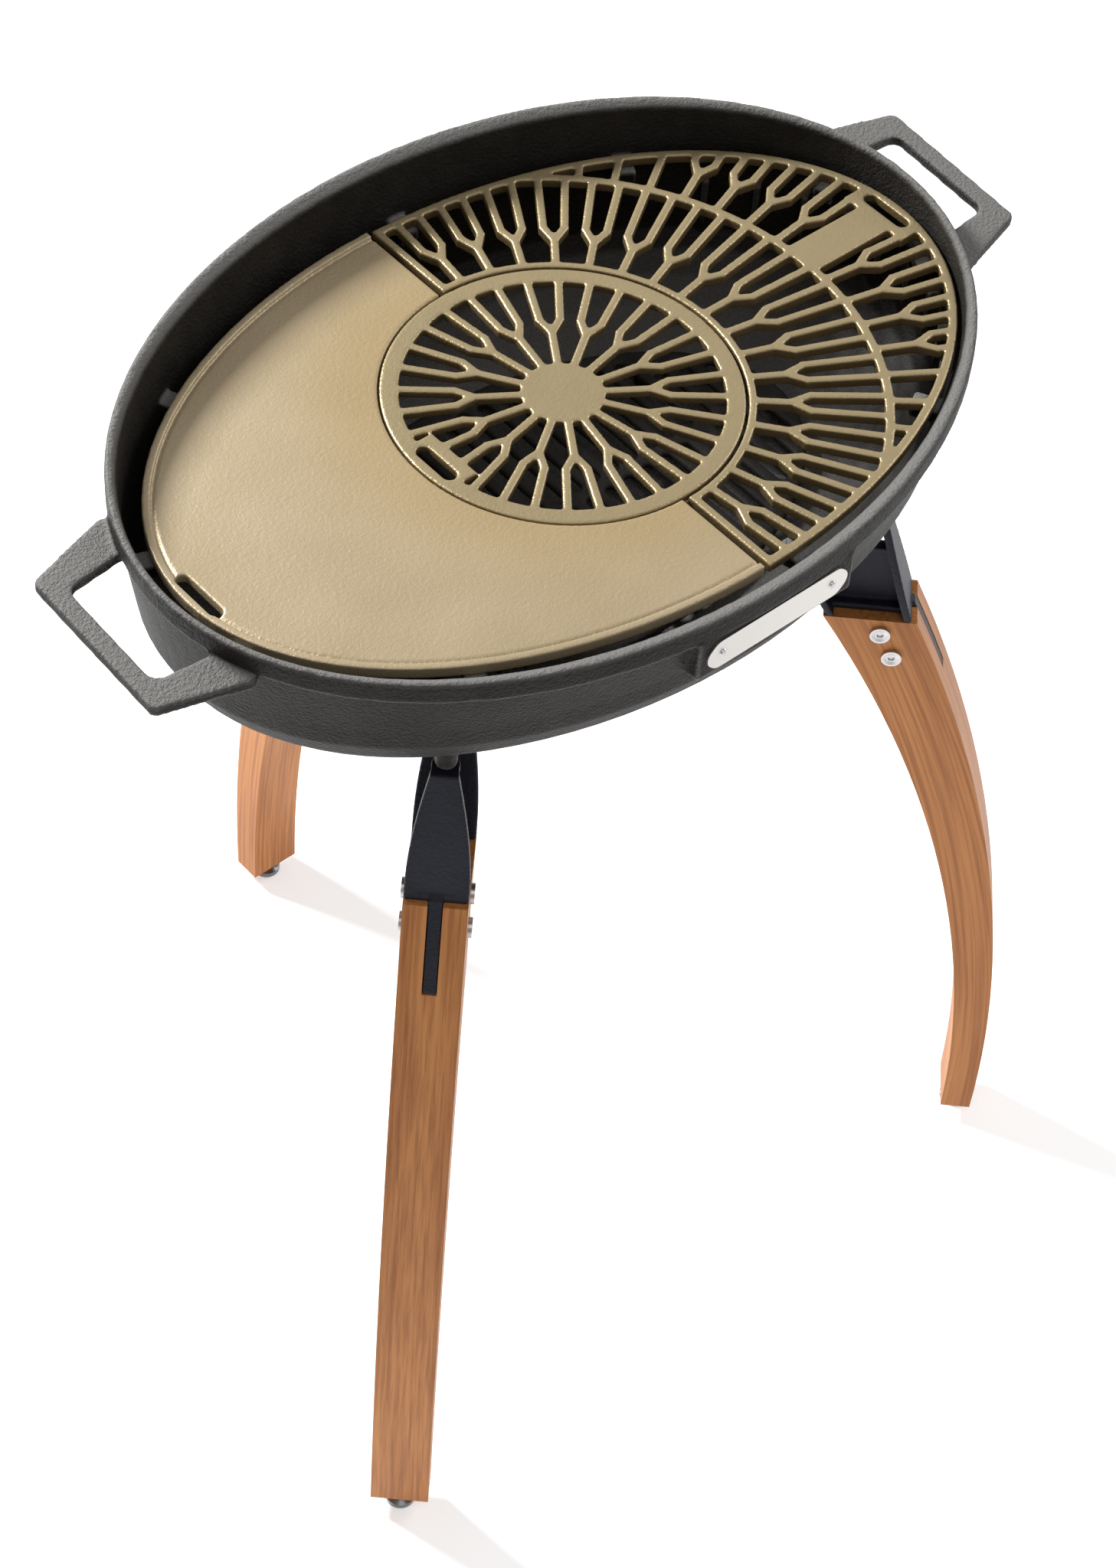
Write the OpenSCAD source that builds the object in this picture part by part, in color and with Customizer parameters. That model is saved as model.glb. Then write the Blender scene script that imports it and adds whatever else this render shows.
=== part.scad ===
// Oval cast-iron charcoal grill on three bowed wooden legs.
// Row frame: +Z up, +X along the two handles, -Y towards the nameplate.
// The origin is on the floor, at the bottom centre of the whole grill's box.

/* [Bowl] */
// Length of the rim, over its outside
rim_len = 600; // [500:5:720]
// Width of the rim, over its outside
rim_wid = 410; // [340:5:500]
// Height of the rim's centre above the floor
rim_height = 760; // [630:5:915]
// How much higher the rim stands at the back than at the front
rim_rise = 36; // [0:1:40]
// Depth of the bowl's outside below the rim's centre
bowl_depth = 148; // [140:1:180]
// Thickness of the cast wall
wall = 4.5; // [3.5:0.5:6]
// Height of the raised band round the rim
band_h = 16; // [12:1:20]

/* [Handles] */
// How far each handle stands out past the rim
handle_reach = 44; // [36:1:56]
// Length of a handle's outer bar
handle_len = 114; // [96:2:138]
// Width of the bars that a handle is made of
handle_bar = 13; // [10:1:16]
// Thickness of a handle
handle_t = 8; // [6:0.5:10]

/* [Cooking grates] */
// Gap between the rim's inside and the grates, at the two handles
grate_gap_x = 9.5; // [9.5:0.5:20]
// Gap between the rim's inside and the grates, at the front and the back
grate_gap_y = 15.5; // [15.5:0.5:24]
// Depth of the grates' top below the rim's centre
grate_drop = 18.5; // [18:0.5:24]
// Thickness of the griddle and of the rib grate
grate_t = 7; // [6:0.5:8.5]
// Width of one rib
rib_w = 5.5; // [4:0.5:6]
// Radius of the round grate
round_r = 111.5; // [92:0.5:125]
// How far the grates sit off the bowl's centre, towards +X and towards the front
seat_off = [4, 3];

/* [Legs] */
// Width of a leg, across its curve
leg_w = 40; // [33:1:48]
// Depth of a leg at its foot
leg_foot_depth = 22.5; // [18:0.5:30]
// How far a leg's outside stands past the rim
leg_reach = 98.5; // [80:0.5:120]
// Sideways offset of the two front legs from the bowl's centre
leg_side = 44; // [0:1:60]
// Height of a bracket's outer blade, from the leg to the bowl
bracket_h = 86; // [80:1:100]

/* [Hidden] */

iron = [0.27, 0.26, 0.25];
bracket_iron = [0.13, 0.14, 0.18];
gold = [0.62, 0.52, 0.33];
griddle_gold = [0.76, 0.68, 0.52];
wood = [0.72, 0.48, 0.29];
steel = [0.78, 0.78, 0.80];

$fn = 64;
rest_gap = 0.3;                     // between pieces that only rest on each other
fit_gap = 0.05;                     // round a screw, a stud or a sleeve
overlap = 1;                        // how far joined shapes run into each other
knuckle = 0.15;                     // how far the round end of a rib stands out from its sides

// Rim and bowl
rim_a = rim_len / 2;
rim_b = rim_wid / 2;
rim_slope = rim_rise / rim_wid;
lip = 5;                            // width of the rim's top
band_step = 3.5;                     // how far the band stands out from the wall
wall_foot = 66;                     // depth at which the wall starts to curve in
wall_in = 12;                       // how far the wall has come in by then
base_in = 140 * rim_wid / 410;      // from the rim to the flat base
curve_steps = 8;
ring_points = 96;
shelf_depth = 30;                   // depth of the shelf inside the bowl
shelf_in = 8;
shelf_more_y = 6.5;                  // the shelf is wider at the front and the back
lip_more_y = 4.5;                   // and so is the rim's top

// Grates
grate_a = rim_a - lip - grate_gap_x;
grate_b = rim_b - lip - grate_gap_y;
grate_z = rim_height - grate_drop;
oval_points = 96;
split_gap = 4;
ring_gap = 1.2;                      // round the round grate
bead_w = 5;
bead_h = 1.5;
groove_w = 2.5;
groove_h = 1.3;
slot_w = 9;                         // width of the three lifting slots
griddle_slot_len = 40;
half_slot_len = 37;
round_slot_len = 33;
round_t = 5.5;
ring_w = 11.8;
hub_r = 26;
spokes = 16;
fork_r = 54;                        // where a spoke of the round grate forks
ledge_in = 8.5;                     // how far the griddle's ledge reaches under the ring
ledge_t = 3.5;
ledge_past = 10;                    // angle by which the ledge runs past the split

// Rib grate: two tiers of forked ribs, on either side of a middle ring
inner_bar_r = round_r + ring_gap + 0.6;
inner_bar_w = 5;
mid_r = inner_bar_r + 0.5 * (grate_a - inner_bar_r);
mid_w = 6;
edge_w = 6;
tier1_pitch = 10.25;
tier1_n = 8;                        // ribs on each side of the middle one
tier1_fork = inner_bar_r + 26;
tier2_pitch = 6.6;
tier2_n = 8;
tier2_fork = mid_r + 27;
crotch = 12;                        // length over which two branches part
pad_w = 28;
slot_frame = 8;

// Charcoal grate
coal_t = 5;
coal_z = rim_height - bowl_depth + 18;
coal_in = 102;                      // from the rim to the charcoal grate's edge, along X
coal_in_y = 88;                     // the same along Y
coal_slot = 8;
coal_pitch = 16;
coal_border = 12;
stud_r = 7;
stud_x = 0.72;                      // place of the four studs, as a part of the grate's size
stud_y = 0.55;

// Legs. A leg's own frame: u outwards from below the rim, z up, the floor at z = 0
leg_dirs = [-135, -45, 90];
leg_sides = [-leg_side, leg_side, 0];
leg_out_z = 50;                     // height of the outer curve's centre
leg_in_z = 20;                      // height of the inner curve's centre
leg_top_in = [10.5, 72.2];          // from below the rim in to the leg's top edges
curve_fn = 360;
foot_h = 13.5;
land_z = [rim_height - bowl_depth + 15, rim_height - bowl_depth - 6];
leg_top_z = land_z[0] - bracket_h;
// Radius of a curve that stands upright at one end and has moved d sideways at height h
function bow_r(d, h) = (d * d + h * h) / (2 * d);
leg_out_r = bow_r(leg_reach + leg_top_in[0], leg_top_z - leg_out_z);
leg_in_r = bow_r(leg_reach - leg_foot_depth + leg_top_in[1], leg_top_z - leg_in_z);
function reach(dir) = sqrt(pow(rim_a * cos(dir), 2) + pow(rim_b * sin(dir), 2));
function leg_out_u(z) = leg_reach - leg_out_r + sqrt(pow(leg_out_r, 2) - pow(z - leg_out_z, 2));
function leg_in_u(z) = leg_reach - leg_foot_depth - leg_in_r + sqrt(pow(leg_in_r, 2) - pow(z - leg_in_z, 2));
top_out = leg_out_u(leg_top_z);
top_in = leg_in_u(leg_top_z);

// Brackets
blade_t = 5.5;
blade_set = [3.5, 2];               // how far the outer and the inner blade stand in from the leg
lean = [27, 36];                    // how far each blade leans inwards on its way up
plate_t = 5;
plate_w = 24;
web_t = 8.8;
web_h = 51;
tongue_h = 56;
tongue_w = 36;
land_t = 6;
land_w = 17;
land_reach = [11, 11.5];            // from a blade's outer side or inner side to its bolt
boss_h = 60;
bell_low = 6;                       // height to which a blade keeps its full width
bell_steps = 10;

// Fixings
bolt_r = 3;
bolt_in = 9;                        // how deep a bracket bolt goes into its boss
bolt_head_r = 5;
bolt_head_h = 5;
hex_r = 2.6;
screw_r = 2.5;
sleeve_r = 4;
sleeve_short = 6;                   // from a sleeve's end to the leg's far side
head_r = 6.75;
head_h = 2.6;
dish_r = [3.2, 5.4];
dish_h = 0.8;
socket_h = 1.9;
leg_screw_drop = [12, 33];          // below the leg's top
leg_screw_in = [23, 13];            // inwards from the leg's top outer edge

// Feet
foot_r = 10.5;
foot_neck_r = 7;
stud_foot_r = 3;
insert_r = 5;
insert_h = 18;
foot_u = leg_reach - leg_foot_depth / 2;

// Nameplate
badge_len = 116;
badge_h = 22;
badge_t = 1.2;
badge_point = 9;
badge_round = 9;
badge_z = rim_height - 48;
pad_margin = 4;
pad_out = rim_b - band_step + 0.3;             // from the bowl's centre to the pad's face
badge_screw_x = 44;
badge_screw_r = 1.5;
badge_head_r = 3;
badge_head_h = 1.4;
badge_screw_in = 5;

// The whole grill's box, which sets the origin
leg_front = (reach(-45) + leg_reach) * sin(45) - leg_side * cos(45) + leg_w / 2 * cos(45);
front_y = -max(leg_front, rim_b);
back_y = reach(90) + leg_reach;
centre_y = -(front_y + back_y) / 2;

// ---------- helpers ----------

module at_bowl() translate([0, centre_y, 0]) children();

module at_grates() translate([seat_off[0], centre_y - seat_off[1], grate_z]) children();

module at_leg(i) {
    at_bowl()
        translate([-leg_sides[i] * sin(leg_dirs[i]), leg_sides[i] * cos(leg_dirs[i]), 0])
        rotate([0, 0, leg_dirs[i]])
        translate([reach(leg_dirs[i]), 0, 0])
        children();
}

// A slice of thickness t standing in a leg's own plane, drawn in (u, z)
module upright(t) rotate([90, 0, 0]) linear_extrude(t, center = true) children();

function polar(r, t) = [r * cos(t), r * sin(t)];

function oval(a, b) = [for (i = [0:oval_points - 1])
    [a * cos(360 * i / oval_points), b * sin(360 * i / oval_points)]];

function oval_r(a, b, t) = a * b / sqrt(pow(b * cos(t), 2) + pow(a * sin(t), 2));

// A flat bar from p to q with a round far end
module bar(p, q, w = rib_w) {
    d = q - p;
    translate(p) rotate(atan2(d[1], d[0])) translate([0, -w / 2]) square([norm(d), w]);
    translate(q) circle(d = w + 2 * knuckle, $fn = 16);
}

module slot(len, w) {
    translate([-w / 2, -(len - w) / 2]) square([w, len - w]);
    for (s = [-1, 1]) translate([0, s * (len - w) / 2]) circle(d = w, $fn = 32);
}

module annulus(r_in, r_out) {
    difference() {
        circle(r_out, $fn = 128);
        circle(r_in, $fn = 128);
    }
}

// ---------- bowl ----------

// A ring is [inset from the rim, depth, share of the rim's slope, extra inset along Y]
function ring(r, turn) = [for (i = [0:ring_points - 1])
    let (t = 360 * (i + turn) / ring_points, y = (rim_b - r[0] - r[3]) * sin(t))
    [(rim_a - r[0]) * cos(t), y, rim_height - r[1] + r[2] * rim_slope * y]];

function curve_rings(from_in, depth) = [for (k = [curve_steps:-1:0])
    let (t = 90 * k / curve_steps)
    [base_in - (base_in - from_in) * cos(t), wall_foot + (depth - wall_foot) * sin(t), 0, 0]];

outer_rings = concat(curve_rings(wall_in, bowl_depth),
    [[band_step, band_h, 1, 0], [0.8, band_h, 1, 0], [0, band_h - 0.8, 1, 0],
    [0, 1.6, 1, 0], [0.8, 0.3, 1, 0], [2, 0, 1, 0], [lip - 1.2, 0.5, 1, 0], [lip + 3, 5, 1, lip_more_y + 0.5]]);
cavity_rings = concat(curve_rings(wall_in + wall, bowl_depth - wall),
    [[shelf_in, shelf_depth, 0, shelf_more_y], [lip + 0.8, 5.5, 1, lip_more_y], [lip + 0.8, -40, 1, lip_more_y]]);

module loft(rings, turn = 0) {
    n = ring_points;
    last = len(rings) - 1;
    points = [for (r = rings) each ring(r, turn)];
    sides = [for (k = [0:last - 1], i = [0:n - 1]) each
        let (a = k * n + i, b = k * n + (i + 1) % n)
        [[a, a + n, b + n], [a, b + n, b]]];
    floor_cap = [for (i = [0:n - 1]) i];
    top_cap = [for (i = [n - 1:-1:0]) last * n + i];
    polyhedron(points, concat(sides, [floor_cap], [top_cap]));
}

module handle_outline() {
    far = rim_a + handle_reach;
    root = rim_a - 20;
    offset(r = 6, $fn = 32)
        offset(delta = -6)
        polygon([[root, -handle_len / 2 - 18], [far, -handle_len / 2],
            [far, handle_len / 2], [root, handle_len / 2 + 18]]);
}

module handle_window() {
    far = rim_a + handle_reach - handle_bar;
    root = rim_a - 8;
    offset(r = 7, $fn = 32)
        offset(delta = -7)
        polygon([[root - 20, -handle_len / 2 + 11], [far, -handle_len / 2 + 17],
            [far, handle_len / 2 - 17], [root - 20, handle_len / 2 - 11]]);
}

module handles() {
    for (side = [0, 180])
        translate([0, 0, rim_height])
            rotate([atan(rim_slope), 0, 0])
            rotate([0, 0, side])
            translate([0, 0, -band_h + 0.5 - handle_t])
            linear_extrude(handle_t)
            difference() {
                handle_outline();
                handle_window();
            }
}

lug_angles = [14, 50, 84, 130, 166, 194, 230, 276, 310, 346];
lug_w = 14;
lug_h = 10;
lug_in = 26;
fin_pitch = 9;                      // fins inside the bowl, below the rib grate
fin_n = 4;                          // on each side of the middle one
fin_w = 5;
fin_in = 20;
fin_top = 42;
fin_foot = 96;

// A block that stands out of the bowl's inner wall at angle t, square to the wall
module wall_block(t, inset, inset_y, z, w, h) {
    translate([(rim_a - inset) * cos(t), (rim_b - inset - inset_y) * sin(t), z])
        rotate([0, 0, atan2(rim_a * sin(t), rim_b * cos(t))])
        translate([0, -w / 2, 0])
        cube([inset + 20, w, h]);
}

// What stays standing inside the bowl: lugs for the grates, fins, studs for the charcoal grate
module inner_blocks() {
    top = grate_z - grate_t - rest_gap;
    for (t = lug_angles)
        wall_block(t, lug_in, shelf_more_y, top - lug_h, lug_w, lug_h);
    for (i = [-fin_n:fin_n])
        wall_block(i * fin_pitch, fin_in, 0, rim_height - fin_foot, fin_w, fin_foot - fin_top);
    for (x = [-1, 1], y = [-1, 1])
        translate([x * stud_x * (rim_a - coal_in), y * stud_y * (rim_b - coal_in_y), 0])
            translate([0, 0, rim_height - bowl_depth])
            cylinder(r = stud_r, h = coal_z - rest_gap - rim_height + bowl_depth);
}

module badge_pad() {
    len = badge_len + 2 * pad_margin;
    h = badge_h + 2 * pad_margin;
    translate([-len / 2, -pad_out, badge_z - h / 2]) cube([len, 30, h]);
}

function land_bolt_u(k) = k == 0
    ? top_out - blade_set[0] - lean[0] - land_reach[0]
    : top_in + blade_set[1] + blade_t - lean[1] + land_reach[1];

module leg_bosses() {
    for (i = [0:2], k = [0, 1])
        at_leg(i)
            translate([land_bolt_u(k), 0, land_z[k]])
            cylinder(d = land_w - 3, h = boss_h);
}

module boss_bores() {
    for (i = [0:2], k = [0, 1])
        at_leg(i)
            translate([land_bolt_u(k), 0, land_z[k] - overlap])
            cylinder(r = bolt_r + fit_gap, h = bolt_in + overlap + rest_gap);
}

module badge_bores() {
    for (s = [-1, 1])
        translate([s * badge_screw_x, -pad_out + badge_screw_in + rest_gap, badge_z])
            rotate([90, 0, 0])
            cylinder(r = badge_screw_r + fit_gap, h = badge_screw_in + overlap);
}

module bowl() {
    color(iron)
        difference() {
            union() {
                at_bowl() loft(outer_rings);
                at_bowl() handles();
                at_bowl() badge_pad();
                leg_bosses();
            }
            difference() {
                at_bowl() loft(cavity_rings, 0.5);
                at_bowl() inner_blocks();
            }
            boss_bores();
            at_bowl() badge_bores();
        }
}

// ---------- nameplate ----------

module nameplate() {
    half = badge_len / 2;
    color(steel)
        at_bowl()
        translate([0, -pad_out, badge_z])
        rotate([90, 0, 0])
        linear_extrude(badge_t)
        difference() {
            offset(r = badge_round, $fn = 48)
                offset(delta = -badge_round)
                polygon([[-half - 2, 0], [-half + badge_point, -badge_h / 2],
                    [half - badge_point, -badge_h / 2], [half + 2, 0],
                    [half - badge_point, badge_h / 2], [-half + badge_point, badge_h / 2]]);
            for (s = [-1, 1])
                translate([s * badge_screw_x, 0]) circle(badge_screw_r + fit_gap, $fn = 32);
        }
}

module nameplate_screws() {
    color(steel)
        at_bowl()
        for (s = [-1, 1])
            translate([s * badge_screw_x, -pad_out - badge_t, badge_z])
            rotate([90, 0, 0])
            rotate_extrude($fn = 48)
            polygon([[0, -badge_screw_in], [badge_screw_r, -badge_screw_in],
                [badge_screw_r, 0], [badge_head_r, 0],
                [badge_head_r * 0.8, badge_head_h * 0.7], [badge_head_r * 0.45, badge_head_h],
                [0, badge_head_h]]);
}

// ---------- cooking grates ----------

module left_of_split() translate([-2 * rim_a, -rim_a]) square([2 * rim_a - split_gap, 2 * rim_a]);

module right_of_split() translate([0, -rim_a]) square([2 * rim_a, 2 * rim_a]);

module griddle_slot_2d() {
    translate([-grate_a + bead_w + slot_w / 2, 0]) slot(griddle_slot_len, slot_w);
}

module griddle_outline(inset) {
    difference() {
        intersection() {
            polygon(oval(grate_a - inset, grate_b - inset));
            left_of_split();
        }
        circle(round_r + ring_gap, $fn = 128);
        griddle_slot_2d();
    }
}

// Two pieces of the ledge: the long one below the plate, and its two ends past the split
module ledge_2d() {
    r_in = round_r - ledge_in;
    difference() {
        intersection() {
            circle(round_r + ring_gap + 5, $fn = 128);
            left_of_split();
        }
        circle(r_in, $fn = 128);
    }
    for (t = [90 - ledge_past, 270])
        intersection() {
            annulus(r_in, round_r + ring_gap - 0.4);
            polygon([[0, 0], polar(2 * round_r, t - (t > 180 ? ledge_past : 0)),
                polar(2 * round_r, t + ledge_past + (t > 180 ? 0 : ledge_past))]);
        }
}

module griddle() {
    color(griddle_gold)
        at_grates() {
            translate([0, 0, -grate_t]) linear_extrude(grate_t - groove_h) griddle_outline(0);
            translate([0, 0, -groove_h - 0.5])
                linear_extrude(groove_h + 0.5)
                griddle_outline(bead_w + groove_w);
            translate([0, 0, -groove_h - 0.5])
                linear_extrude(groove_h + 0.5 + bead_h)
                difference() {
                    griddle_outline(0);
                    polygon(oval(grate_a - bead_w, grate_b - bead_w));
                }
            translate([0, 0, -round_t - rest_gap - ledge_t])
                linear_extrude(ledge_t)
                ledge_2d();
        }
}

// A rib that forks at r_fork and ends as two branches at the radii r_ends
module forked_rib(t, r_from, r_fork, r_ends, part) {
    bar(polar(r_from, t), polar(r_fork, t));
    for (k = [0, 1]) {
        b = t + (k == 0 ? -part : part);
        bar(polar(r_fork, t), polar(r_fork + crotch, b));
        bar(polar(r_fork + crotch, b), polar(r_ends[k], b));
    }
}

function edge_r(t) = oval_r(grate_a - edge_w / 2, grate_b - edge_w / 2, t);

module tier1() {
    part = tier1_pitch / 4;
    for (i = [-tier1_n:tier1_n])
        forked_rib(i * tier1_pitch, inner_bar_r + 2, tier1_fork,
            [for (b = [-part, part]) min(mid_r, edge_r(i * tier1_pitch + b))], part);
}

module tier2() {
    part = tier2_pitch / 4;
    for (i = [-tier2_n:tier2_n])
        let (t = i * tier2_pitch, far = edge_r(t))
            if (abs(far * sin(t)) > pad_w / 2 + rib_w / 2 && far > mid_r + 8) {
                if (far > tier2_fork + crotch)
                    forked_rib(t, mid_r, tier2_fork, [edge_r(t - part), edge_r(t + part)], part);
                else
                    bar(polar(mid_r, t), polar(far, t));
            }
}

module half_grate_2d() {
    slot_x = grate_a - edge_w - slot_w / 2;
    difference() {
        union() {
            intersection() {
                difference() {
                    polygon(oval(grate_a, grate_b));
                    polygon(oval(grate_a - edge_w, grate_b - edge_w));
                }
                right_of_split();
            }
            intersection() {
                annulus(inner_bar_r, inner_bar_r + inner_bar_w);
                right_of_split();
            }
            intersection() {
                polygon(oval(grate_a - 1, grate_b - 1));
                union() {
                    intersection() {
                        annulus(mid_r - mid_w / 2, mid_r + mid_w / 2);
                        right_of_split();
                    }
                    for (s = [-1, 1])
                        translate([0, s * inner_bar_r + (s < 0 ? -rim_b : 0)])
                            square([rib_w, rim_b]);
                    translate([mid_r, -pad_w / 2]) square([slot_x - mid_r, pad_w]);
                    translate([slot_x - slot_w / 2 - slot_frame, -half_slot_len / 2 - slot_frame])
                        square([slot_w + slot_frame + edge_w, half_slot_len + 2 * slot_frame]);
                    tier1();
                    tier2();
                }
            }
        }
        translate([slot_x, 0]) slot(half_slot_len, slot_w);
    }
}

module half_grate() {
    color(gold)
        at_grates()
        translate([0, 0, -grate_t])
        linear_extrude(grate_t)
        half_grate_2d();
}

module round_grate_2d() {
    part = 360 / spokes / 4;
    slot_at = round_r - ring_w;
    difference() {
        union() {
            annulus(round_r - ring_w, round_r);
            circle(hub_r);
            for (i = [0:spokes - 1])
                forked_rib(360 * (i + 0.5) / spokes, hub_r - 2, fork_r,
                    [round_r - ring_w + 2, round_r - ring_w + 2], part);
            translate([-slot_at - 2, -round_slot_len / 2 - 5])
                square([slot_w + 7, round_slot_len + 10]);
        }
        translate([-slot_at, 0]) slot(round_slot_len, slot_w);
    }
}

module round_grate() {
    color(gold)
        at_grates()
        translate([0, 0, -round_t])
        linear_extrude(round_t)
        round_grate_2d();
}

// ---------- charcoal grate ----------

module charcoal_grate() {
    a = rim_a - coal_in;
    b = rim_b - coal_in_y;
    rows = floor((a - coal_border) / coal_pitch);
    color(iron)
        at_bowl()
        translate([0, 0, coal_z])
        linear_extrude(coal_t)
        difference() {
            polygon(oval(a, b));
            for (i = [-rows:rows], s = [-1, 1])
                let (x = i * coal_pitch, far = b * sqrt(1 - pow(x / a, 2)) - coal_border)
                    if (far > 4 * coal_slot)
                        translate([x, s * (far + coal_slot / 2) / 2]) slot(far - coal_slot / 2, coal_slot);
        }
}

// ---------- brackets ----------

// A blade's outside at height z, for the outer (0) and the inner (1) blade
function blade_u(k, z) = (k == 0 ? top_out - blade_set[0] : top_in + blade_set[1] + blade_t)
    - lean[k] * (z - leg_top_z) / (land_z[k] - leg_top_z);

// Half the width of a blade at height z: the leg's at its foot, its land's at its top
function bell(z) = land_w / 2 + (leg_w / 2 - land_w / 2)
    * cos(90 * (z - leg_top_z - bell_low) / (bracket_h - bell_low));

module blade_2d(k) {
    low = leg_top_z;
    high = land_z[k];
    polygon([[blade_u(k, low), low], [blade_u(k, high), high],
        [blade_u(k, high) - blade_t, high], [blade_u(k, low) - blade_t, low]]);
}

module bell_cut() {
    steps = [for (k = [0:bell_steps]) leg_top_z + bell_low + (bracket_h - bell_low) * k / bell_steps];
    rotate([90, 0, 90])
        translate([0, 0, -200])
        linear_extrude(200 + leg_reach)
        polygon(concat([[leg_w / 2, leg_top_z]], [for (z = steps) [bell(z), z]],
            [for (k = [bell_steps:-1:0]) [-bell(steps[k]), steps[k]]], [[-leg_w / 2, leg_top_z]]));
}

module web_2d() {
    top = leg_top_z + web_h;
    polygon([[blade_u(1, leg_top_z) - overlap, leg_top_z], [blade_u(0, leg_top_z) - overlap, leg_top_z],
        [blade_u(0, top) - overlap, top], [blade_u(1, top) - overlap, top]]);
}

// The tongue, or the slot for it: a strip that follows the leg's outer curve
module tongue_2d(outside, grow) {
    low = leg_top_z - tongue_h - grow;
    intersection() {
        translate([leg_reach - leg_out_r, leg_out_z])
            difference() {
                circle(leg_out_r + outside, $fn = curve_fn);
                circle(leg_out_r - tongue_w - grow, $fn = curve_fn);
            }
        translate([top_in, low]) square([leg_reach - top_in, leg_top_z + plate_t - overlap - low]);
    }
}

module screw_places() {
    for (k = [0, 1])
        translate([top_out - leg_screw_in[k], leg_top_z - leg_screw_drop[k]]) children();
}

module bracket(i) {
    color(bracket_iron)
        at_leg(i)
        difference() {
            union() {
                intersection() {
                    upright(2 * leg_w) {
                        blade_2d(0);
                        blade_2d(1);
                    }
                    bell_cut();
                }
                translate([blade_u(1, leg_top_z) - overlap, -plate_w / 2, leg_top_z])
                    cube([blade_u(0, leg_top_z) - blade_u(1, leg_top_z), plate_w, plate_t]);
                upright(web_t) web_2d();
                upright(web_t) tongue_2d(-rest_gap, 0);
                for (k = [0, 1])
                    translate([0, 0, land_z[k] - land_t])
                        linear_extrude(land_t)
                        bar([blade_u(k, land_z[k]) - 2, 0], [land_bolt_u(k), 0], land_w);
            }
            for (k = [0, 1])
                translate([land_bolt_u(k), 0, land_z[k] - land_t - overlap])
                    cylinder(r = bolt_r + fit_gap, h = land_t + 2 * overlap);
            upright(2 * leg_w) screw_places() circle(sleeve_r + fit_gap);
        }
}

module bracket_bolts(i) {
    color(steel)
        at_leg(i)
        for (k = [0, 1])
            translate([land_bolt_u(k), 0, land_z[k]])
            difference() {
                union() {
                    translate([0, 0, -land_t - bolt_head_h]) cylinder(r = bolt_head_r, h = bolt_head_h);
                    translate([0, 0, -land_t - overlap]) cylinder(r = bolt_r, h = land_t + overlap + bolt_in);
                }
                translate([0, 0, -land_t - bolt_head_h - overlap])
                    cylinder(r = hex_r, h = overlap + bolt_head_h / 2, $fn = 6);
            }
}

// ---------- legs ----------

module leg_2d() {
    intersection() {
        difference() {
            translate([leg_reach - leg_out_r, leg_out_z]) circle(leg_out_r, $fn = curve_fn);
            translate([leg_reach - leg_foot_depth - leg_in_r, leg_in_z]) circle(leg_in_r, $fn = curve_fn);
        }
        translate([top_in - 40, foot_h]) square([leg_reach - top_in + 80, leg_top_z - foot_h]);
    }
}

module leg(i) {
    color(wood)
        at_leg(i)
        difference() {
            upright(leg_w) leg_2d();
            upright(web_t + 2 * rest_gap) tongue_2d(overlap, rest_gap);
            upright(2 * leg_w) screw_places() circle(sleeve_r + fit_gap);
            translate([foot_u, 0, foot_h - overlap])
                cylinder(r = insert_r + fit_gap, h = insert_h + overlap + rest_gap);
        }
}

// A round head with a dished face and a hexagon socket, its top at z = head_h
module dished_head() {
    difference() {
        cylinder(r = head_r, h = head_h);
        translate([0, 0, head_h - dish_h]) cylinder(r1 = dish_r[0], r2 = dish_r[1], h = dish_h + 0.01);
        translate([0, 0, head_h - socket_h]) cylinder(r = hex_r, h = head_h, $fn = 6);
    }
}

module leg_screws(i) {
    color(steel)
        at_leg(i)
        rotate([90, 0, 0])
        screw_places() {
            translate([0, 0, leg_w / 2]) dished_head();
            translate([0, 0, -leg_w / 4]) cylinder(r = screw_r, h = 3 * leg_w / 4 + 0.5);
        }
}

module leg_sleeves(i) {
    color(steel)
        at_leg(i)
        rotate([-90, 0, 0])
        mirror([0, 1, 0])
        screw_places() {
            translate([0, 0, leg_w / 2]) dished_head();
            difference() {
                translate([0, 0, -leg_w / 2 + sleeve_short])
                    cylinder(r = sleeve_r, h = leg_w - sleeve_short + 0.5);
                translate([0, 0, -leg_w / 2])
                    cylinder(r = screw_r + fit_gap, h = 3 * leg_w / 4 + 1);
            }
        }
}

// ---------- feet ----------

module foot_insert(i) {
    color(steel)
        at_leg(i)
        translate([foot_u, 0, foot_h])
        difference() {
            cylinder(r = insert_r, h = insert_h);
            translate([0, 0, -overlap]) cylinder(r = stud_foot_r + fit_gap, h = insert_h + 2 * overlap);
        }
}

module foot(i) {
    neck_top = foot_h - rest_gap;
    color(steel)
        at_leg(i)
        translate([foot_u, 0, 0])
        rotate_extrude()
        polygon([[0, 0], [foot_r - 1, 0], [foot_r, 1], [foot_r, 5], [foot_neck_r, 7],
            [foot_neck_r, neck_top], [stud_foot_r, neck_top],
            [stud_foot_r, foot_h + insert_h - overlap], [0, foot_h + insert_h - overlap]]);
}

// ---------- nodes ----------

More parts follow.
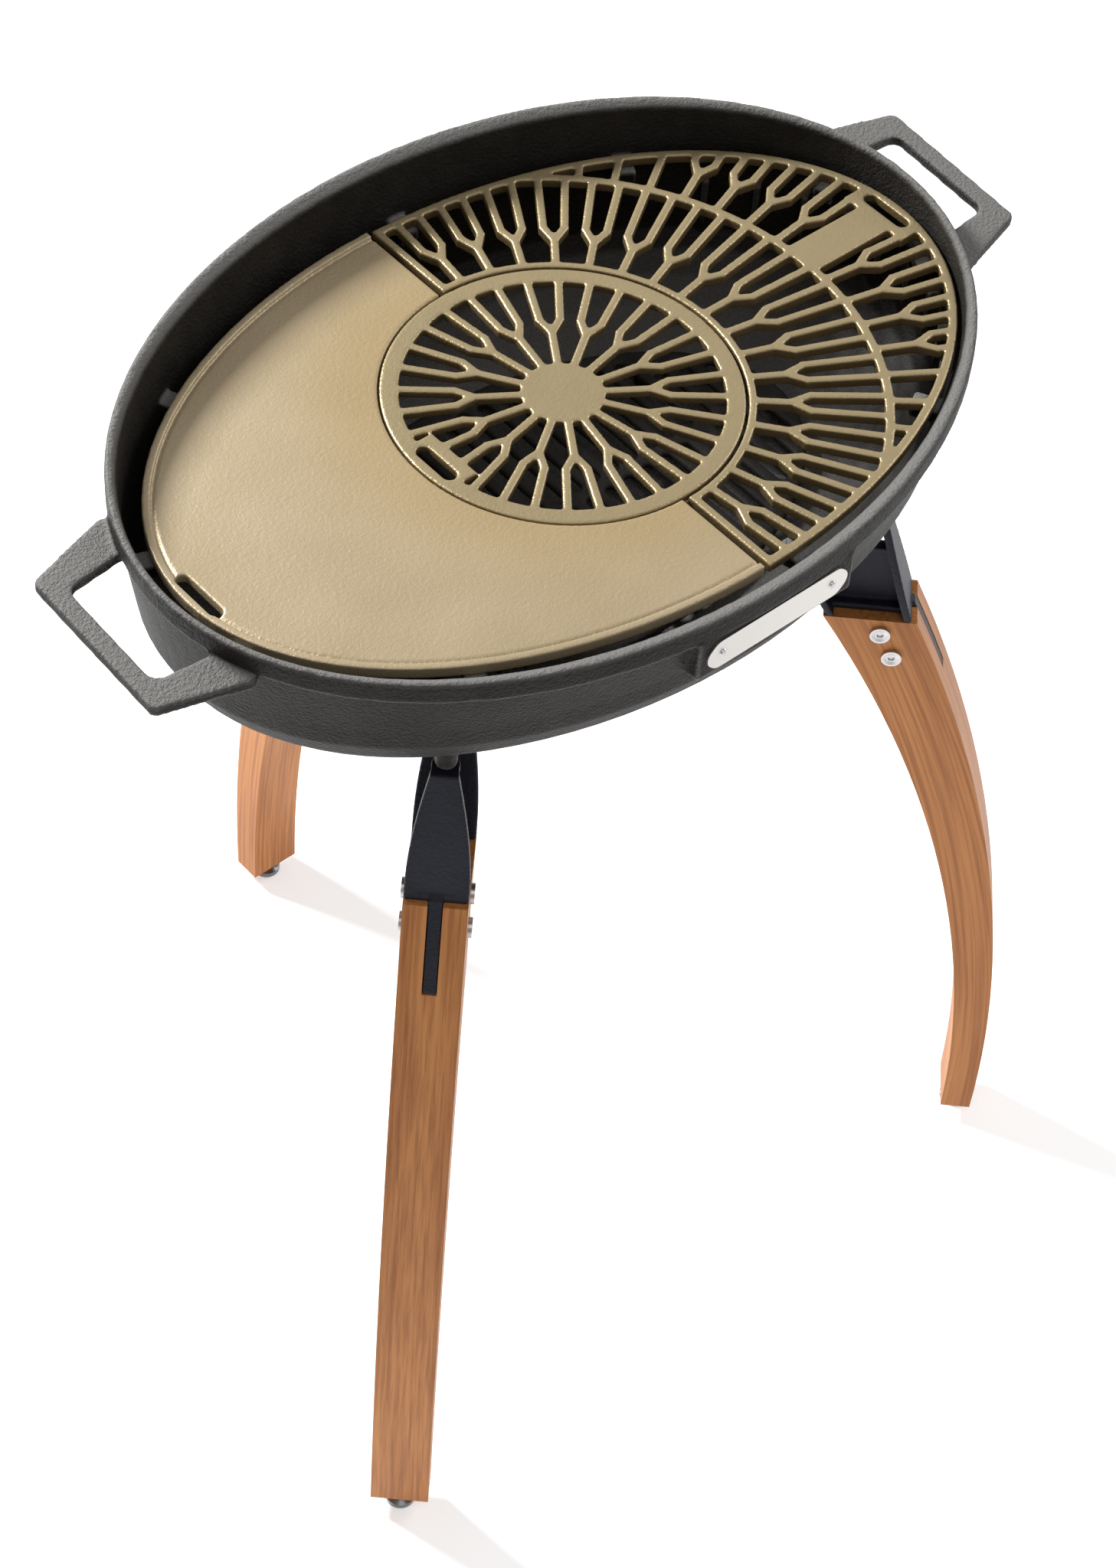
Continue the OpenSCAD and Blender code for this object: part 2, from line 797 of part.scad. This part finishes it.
bowl();
nameplate();
nameplate_screws();
griddle();
half_grate();
round_grate();
charcoal_grate();
bracket(0);  // bracket_left
bracket(1);  // bracket_right
bracket(2);  // bracket_back
bracket_bolts(0);  // bracket_bolts_left
bracket_bolts(1);  // bracket_bolts_right
bracket_bolts(2);  // bracket_bolts_back
leg(0);  // leg_left
leg(1);  // leg_right
leg(2);  // leg_back
leg_screws(0);  // leg_screws_left
leg_screws(1);  // leg_screws_right
leg_screws(2);  // leg_screws_back
leg_sleeves(0);  // leg_sleeves_left
leg_sleeves(1);  // leg_sleeves_right
leg_sleeves(2);  // leg_sleeves_back
foot_insert(0);  // foot_insert_left
foot_insert(1);  // foot_insert_right
foot_insert(2);  // foot_insert_back
foot(0);  // foot_left
foot(1);  // foot_right
foot(2);  // foot_back
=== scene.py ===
"""Looks of the oval cast-iron charcoal grill: materials, cast rounding, floor, light and camera."""

import math

import bpy
import numpy as np
from mathutils import Matrix, Vector


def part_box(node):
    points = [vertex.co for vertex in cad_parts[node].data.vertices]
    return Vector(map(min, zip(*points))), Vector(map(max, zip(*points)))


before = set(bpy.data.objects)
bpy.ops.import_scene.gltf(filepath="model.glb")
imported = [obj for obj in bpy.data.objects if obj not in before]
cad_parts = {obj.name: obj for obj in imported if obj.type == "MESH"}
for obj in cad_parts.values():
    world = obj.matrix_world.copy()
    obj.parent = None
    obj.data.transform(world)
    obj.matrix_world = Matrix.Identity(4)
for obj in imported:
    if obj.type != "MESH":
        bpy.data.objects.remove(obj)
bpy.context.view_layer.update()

MM = 0.001
SIDES = ("left", "right", "back")

# Cast surfaces: how many grains a metre holds, coarse and fine
GRAIN = 420.0
FINE_GRAIN = 1100.0

# The amber ring on the griddle: its distances from the round grate's middle, in metres, and its strength
AMBER_FROM, AMBER_TO = 0.10, 0.20
AMBER_STRENGTH = 0.6

# The rim's plane rises this much from front to back
RIM_RISE = 36 * MM

# Camera: degrees round, above and about the view, then metres from the rim's middle and across the view
CAMERA_AZIMUTH, CAMERA_ELEVATION, CAMERA_ROLL = -44.56, 49.51, 4.79
CAMERA_DISTANCE, CAMERA_SLIDE, CAMERA_LIFT = 2.1746, 0.02175, -0.24876
LENS_MM, SENSOR_MM = 82.87, 36.0


# ---------- materials ----------

class Shader:
    """One material, with short ways to add and join its nodes."""

    def __init__(self, name):
        self.material = bpy.data.materials.new(name)
        self.material.use_nodes = True
        self.nodes = self.material.node_tree.nodes
        self.links = self.material.node_tree.links
        self.bsdf = self.nodes["Principled BSDF"]
        self.place = self.add("ShaderNodeTexCoord").outputs["Object"]

    def add(self, kind, **inputs):
        """Adds a node and sets its inputs by name."""
        node = self.nodes.new(kind)
        for key, value in inputs.items():
            node.inputs[key].default_value = value
        return node

    def set(self, **values):
        """Sets the surface shader's own sockets; an underscore stands for a space."""
        for key, value in values.items():
            self.bsdf.inputs[key.replace("_", " ")].default_value = value

    def join(self, output, socket):
        self.links.new(output, socket)

    def noise(self, scale, detail=3.0, roughness=0.6, place=None):
        node = self.add("ShaderNodeTexNoise", Scale=scale, Detail=detail, Roughness=roughness)
        self.join(place or self.place, node.inputs["Vector"])
        return node.outputs["Fac"]

    def stretched(self, scale, place=None):
        """The place scaled on each axis, so that a noise of scale 1 runs long where the scale is low."""
        node = self.add("ShaderNodeMapping", Scale=scale)
        self.join(place or self.place, node.inputs["Vector"])
        return node.outputs["Vector"]

    def math(self, operation, *values):
        """Values are numbers or sockets."""
        node = self.nodes.new("ShaderNodeMath")
        node.operation = operation
        for value, socket in zip(values, node.inputs):
            if isinstance(value, bpy.types.NodeSocket):
                self.join(value, socket)
            else:
                socket.default_value = value
        return node.outputs[0]

    def ramp(self, factor, stops):
        """stops: (position, (r, g, b)) pairs."""
        node = self.nodes.new("ShaderNodeValToRGB")
        marks = node.color_ramp.elements
        while len(marks) < len(stops):
            marks.new(0.5)
        for mark, (position, colour) in zip(marks, stops):
            mark.position = position
            mark.color = (*colour, 1.0)
        self.join(factor, node.inputs["Fac"])
        return node.outputs["Color"]

    def mix(self, factor, a, b, mode="MIX"):
        """Blends two colours; each argument is a value or a socket."""
        node = self.nodes.new("ShaderNodeMix")
        node.data_type = "RGBA"
        node.blend_type = mode
        for value, socket in ((factor, node.inputs[0]), (a, node.inputs[6]), (b, node.inputs[7])):
            if isinstance(value, bpy.types.NodeSocket):
                self.join(value, socket)
            else:
                socket.default_value = value
        return node.outputs[2]

    def bump(self, layers):
        """layers: (height, strength, distance in metres), coarse first."""
        normal = None
        for height, strength, distance in layers:
            node = self.add("ShaderNodeBump", Strength=strength, Distance=distance)
            self.join(height, node.inputs["Height"])
            if normal:
                self.join(normal, node.inputs["Normal"])
            normal = node.outputs["Normal"]
        self.join(normal, self.bsdf.inputs["Normal"])


def cast_iron(name, dark, light, roughness, metallic, grain, edge=None, highlight_at=(0.5, 0.56), painted_top_light=0.0):
    """Sand-cast iron: mottled from dark to light, with a grain that many metres deep.
    With an edge colour its edges take it as a painted highlight, from one pointiness to the other, and the
    surfaces that face up take it as painted light from above, by the share given for the tops."""
    shader = Shader(name)
    shader.set(Roughness=roughness, Metallic=metallic)
    colour = shader.ramp(shader.noise(38.0, 4.0), [(0.3, dark), (0.7, light)])
    if edge:
        surface = shader.nodes.new("ShaderNodeNewGeometry")
        start, full = highlight_at
        # Painted highlight: the edges take the edge colour, from one pointiness to the other
        painted_light_mask = shader.ramp(surface.outputs["Pointiness"], [(start, (0, 0, 0)), (full, (1, 1, 1))])
        # Painted light from above: surfaces that face up take the edge colour too, by the given share
        if painted_top_light:
            split = shader.nodes.new("ShaderNodeSeparateXYZ")
            shader.join(surface.outputs["Normal"], split.inputs["Vector"])
            painted_top_mask = shader.ramp(split.outputs["Z"], [(0.35, (0, 0, 0)), (0.9, (painted_top_light, painted_top_light, painted_top_light))])
            painted_light_mask = shader.mix(1.0, painted_light_mask, painted_top_mask, "LIGHTEN")
        # The edge colour is laid on here as painted highlight and painted top light
        colour = shader.mix(painted_light_mask, colour, (*edge, 1.0))
    shader.join(colour, shader.bsdf.inputs["Base Color"])
    shader.bump([(shader.noise(GRAIN, 2.0), 1.0, grain), (shader.noise(FINE_GRAIN, 1.0), 0.7, grain / 2)])
    return shader


def griddle_iron():
    """Pale gold plate with an amber tint where it gets hottest, beside the round grate."""
    shader = Shader("griddle_iron")
    shader.set(Roughness=0.42, Metallic=0.35)
    pale = shader.ramp(shader.noise(6.0, 3.0), [(0.3, (0.38, 0.298, 0.178)), (0.7, (0.48, 0.385, 0.25))])
    low, high = (Vector(corner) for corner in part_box("round_grate"))
    middle = (low + high) / 2
    away = shader.nodes.new("ShaderNodeVectorMath")
    away.operation = "DISTANCE"
    away.inputs[1].default_value = middle
    shader.join(shader.place, away.inputs[0])
    near = shader.add("ShaderNodeMapRange")
    near.interpolation_type = "SMOOTHSTEP"
    near.inputs["From Min"].default_value = AMBER_FROM
    near.inputs["From Max"].default_value = AMBER_TO
    near.inputs["To Min"].default_value = AMBER_STRENGTH
    near.inputs["To Max"].default_value = 0.0
    shader.join(away.outputs["Value"], near.inputs["Value"])
    colour = shader.mix(near.outputs["Result"], pale, (0.40, 0.285, 0.13, 1.0))
    shader.join(colour, shader.bsdf.inputs["Base Color"])
    shader.bump([(shader.noise(GRAIN, 1.5), 0.6, 0.0005), (shader.noise(1000.0, 1.0), 0.4, 0.0003)])
    return shader


def leg_line(side):
    """Azimuth of a leg's plane, and the quadratic that its middle line follows up its height."""
    points = np.array([vertex.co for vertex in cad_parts["leg_" + side].data.vertices])
    height = points[:, 2]
    foot = points[height < np.quantile(height, 0.1)].mean(axis=0)
    head = points[height > np.quantile(height, 0.9)].mean(axis=0)
    azimuth = math.atan2(foot[1] - head[1], foot[0] - head[0])
    reach = points[:, 0] * math.cos(azimuth) + points[:, 1] * math.sin(azimuth)
    return azimuth, [float(value) for value in np.polyfit(height, reach, 2)]


def leg_wood(side):
    """Oiled hardwood whose grain follows the leg's bow. Each leg's grain comes from another place,
    so that no two legs are alike."""
    shader = Shader("leg_wood_" + side)
    shader.set(Roughness=0.5, Specular_IOR_Level=0.3)
    azimuth, (curve, slope, start) = leg_line(side)
    turned = shader.add("ShaderNodeMapping", Rotation=(0, 0, -azimuth), Location=(0, SIDES.index(side), 0))
    shader.join(shader.place, turned.inputs["Vector"])
    split = shader.nodes.new("ShaderNodeSeparateXYZ")
    shader.join(turned.outputs["Vector"], split.inputs["Vector"])
    reach, across, height = split.outputs
    bow = shader.math("MULTIPLY_ADD", shader.math("MULTIPLY_ADD", height, curve, slope), height, start)
    along = shader.nodes.new("ShaderNodeCombineXYZ")
    for value, socket in zip((shader.math("SUBTRACT", reach, bow), across, height), along.inputs):
        shader.join(value, socket)
    place = along.outputs["Vector"]
    fine = shader.noise(1.0, 5.0, 0.65, shader.stretched((380.0, 380.0, 6.0), place))
    broad = shader.noise(1.0, 3.0, 0.5, shader.stretched((70.0, 70.0, 3.5), place))
    base = shader.ramp(broad, [(0.25, (0.40, 0.145, 0.038)), (0.75, (0.58, 0.245, 0.075))])
    grain = shader.ramp(fine, [(0.36, (0.58, 0.48, 0.38)), (0.58, (1.0, 1.0, 1.0))])
    colour = shader.mix(0.8, base, grain, "MULTIPLY")
    shader.join(colour, shader.bsdf.inputs["Base Color"])
    shader.bump([(fine, 0.25, 0.0002)])
    return shader


def steel(name, colour, roughness, brushed):
    """Bare steel, brushed along X or turned."""
    shader = Shader(name)
    shader.set(Base_Color=(*colour, 1.0), Metallic=1.0, Roughness=roughness)
    scale = (30.0, 2500.0, 2500.0) if brushed else (600.0, 600.0, 600.0)
    shader.bump([(shader.noise(1.0, 2.0, 0.5, shader.stretched(scale)), 0.12, 0.0001)])
    return shader


# The bowl's edge colour is a painted sheen, laid on its edges and on the surfaces that face up
BOWL = cast_iron("bowl_iron", dark=(0.009, 0.008, 0.007), light=(0.019, 0.017, 0.015),
                 roughness=0.55, metallic=0.0, grain=0.0014,
                 edge=(0.19, 0.184, 0.176), highlight_at=(0.51, 0.58), painted_top_light=0.85)
BOWL.set(Specular_IOR_Level=0.15)
# The grates' edge colour is a painted highlight, laid on their rib edges and on the surfaces that face up
GRATE = cast_iron("grate_iron", dark=(0.15, 0.105, 0.045), light=(0.21, 0.148, 0.068),
                  roughness=0.36, metallic=0.5, grain=0.0004,
                  edge=(0.60, 0.49, 0.29), highlight_at=(0.52, 0.62), painted_top_light=0.5)
COAL = cast_iron("coal_iron", dark=(0.03, 0.027, 0.024), light=(0.05, 0.045, 0.04),
                 roughness=0.7, metallic=0.2, grain=0.0004)
BRACKET = cast_iron("bracket_iron", dark=(0.008, 0.009, 0.015), light=(0.015, 0.016, 0.026),
                    roughness=0.5, metallic=0.1, grain=0.0004)
BRACKET.set(Specular_IOR_Level=0.25)
GRIDDLE = griddle_iron()
WOOD = {side: leg_wood(side) for side in SIDES}
PLATE = steel("plate_steel", (0.62, 0.60, 0.57), roughness=0.34, brushed=True)
SCREW = steel("screw_steel", (0.55, 0.54, 0.54), roughness=0.30, brushed=False)
FOOT = steel("foot_steel", (0.20, 0.20, 0.21), roughness=0.28, brushed=False)


# ---------- finishing the CAD nodes ----------

def finish(name, shader, voxel=None, smooth=4, edge=None):
    """Gives a node its material and slot, and rounds it: as cast, by voxels of that many mm that are
    then smoothed, or by edges bevelled to that many mm, or not at all."""
    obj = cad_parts[name]
    obj.data.materials.clear()
    obj.data.materials.append(shader.material)
    obj.data.polygons.foreach_set("use_smooth", [True] * len(obj.data.polygons))
    if voxel:
        remesh = obj.modifiers.new("cast", "REMESH")
        remesh.mode = "VOXEL"
        remesh.voxel_size = voxel * MM
        remesh.use_smooth_shade = True
        soft = obj.modifiers.new("soft", "SMOOTH")
        soft.factor = 0.5
        soft.iterations = smooth
    elif edge:
        bevel = obj.modifiers.new("eased", "BEVEL")
        bevel.width = edge * MM
        bevel.segments = 2
        bevel.limit_method = "ANGLE"
        bevel.angle_limit = math.radians(40)
        bevel.harden_normals = True
    else:
        obj.data.set_sharp_from_angle(angle=math.radians(30))


coarser = 1.0
finish("bowl", BOWL, voxel=1.5 * coarser, smooth=5)
finish("griddle", GRIDDLE, voxel=0.9 * coarser, smooth=2)
finish("half_grate", GRATE, voxel=0.9 * coarser, smooth=4)
finish("round_grate", GRATE, voxel=0.9 * coarser, smooth=4)
finish("charcoal_grate", COAL, voxel=1.6 * coarser, smooth=2)
finish("nameplate", PLATE)
finish("nameplate_screws", SCREW)
for side in SIDES:
    finish("bracket_" + side, BRACKET, voxel=0.9 * coarser, smooth=4)
    finish("leg_" + side, WOOD[side], edge=0.8)
    finish("foot_" + side, FOOT)
    for kind in ("bracket_bolts_", "leg_screws_", "leg_sleeves_", "foot_insert_"):
        finish(kind + side, SCREW)


# ---------- floor, light and camera ----------

bowl_low, bowl_high = (Vector(corner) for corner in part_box("bowl"))
rim_middle = Vector((0, (bowl_low.y + bowl_high.y) / 2, bowl_high.z - RIM_RISE / 2))


def floor():
    """A pale floor that glows a little, so that it reads as white."""
    half = 12.0
    mesh = bpy.data.meshes.new("floor")
    corners = [(-half, -half, 0), (half, -half, 0), (half, half, 0), (-half, half, 0)]
    mesh.from_pydata(corners, [], [(0, 1, 2, 3)])
    obj = bpy.data.objects.new("floor", mesh)
    bpy.context.scene.collection.objects.link(obj)
    shader = Shader("floor_white")
    shader.set(Base_Color=(0.9, 0.9, 0.9, 1.0), Roughness=0.9, Emission_Color=(1, 1, 1, 1),
               Emission_Strength=0.4)
    mesh.materials.append(shader.material)


def aim(obj, at):
    obj.rotation_euler = (at - obj.location).to_track_quat("-Z", "Y").to_euler()


def softbox(name, azimuth, elevation, distance, size, power):
    """A square area light of that size in metres, aimed at the rim's middle. Azimuth is measured from
    +X towards +Y, and power is in watts."""
    data = bpy.data.lights.new(name, "AREA")
    data.energy = power
    data.size = size
    obj = bpy.data.objects.new(name, data)
    bpy.context.scene.collection.objects.link(obj)
    a, e = math.radians(azimuth), math.radians(elevation)
    obj.location = rim_middle + distance * Vector(
        (math.cos(a) * math.cos(e), math.sin(a) * math.cos(e), math.sin(e)))
    aim(obj, rim_middle)


def camera():
    """Looks down on the rim's middle from the front left, tipped a little and moved within its own plane."""
    azimuth, elevation, roll = map(math.radians, (CAMERA_AZIMUTH, CAMERA_ELEVATION, CAMERA_ROLL))
    back = Vector((math.sin(azimuth) * math.cos(elevation), -math.cos(azimuth) * math.cos(elevation),
                   math.sin(elevation)))
    right = Vector((math.cos(azimuth), math.sin(azimuth), 0))
    up = back.cross(right)
    data = bpy.data.cameras.new("camera")
    data.sensor_fit = "VERTICAL"
    data.sensor_height = SENSOR_MM
    data.lens = LENS_MM
    obj = bpy.data.objects.new("camera", data)
    turned_right = math.cos(roll) * right + math.sin(roll) * up
    turned_up = -math.sin(roll) * right + math.cos(roll) * up
    axes = Matrix((turned_right, turned_up, back)).transposed().to_4x4()
    place = rim_middle + CAMERA_DISTANCE * back + CAMERA_SLIDE * right + CAMERA_LIFT * up
    obj.matrix_world = Matrix.Translation(place) @ axes
    bpy.context.scene.collection.objects.link(obj)
    bpy.context.scene.camera = obj


def sky():
    world = bpy.data.worlds.new("pale")
    world.use_nodes = True
    background = world.node_tree.nodes["Background"]
    background.inputs["Color"].default_value = (1, 1, 1, 1)
    background.inputs["Strength"].default_value = 0.35
    bpy.context.scene.world = world


floor()
softbox("key", azimuth=108, elevation=31, distance=2.6, size=0.6, power=135)
softbox("fill_right", azimuth=-12, elevation=28, distance=3.0, size=1.8, power=34)
softbox("front", azimuth=-120, elevation=55, distance=3.0, size=1.6, power=12)
sky()
bpy.context.scene.view_settings.view_transform = "Standard"
camera()
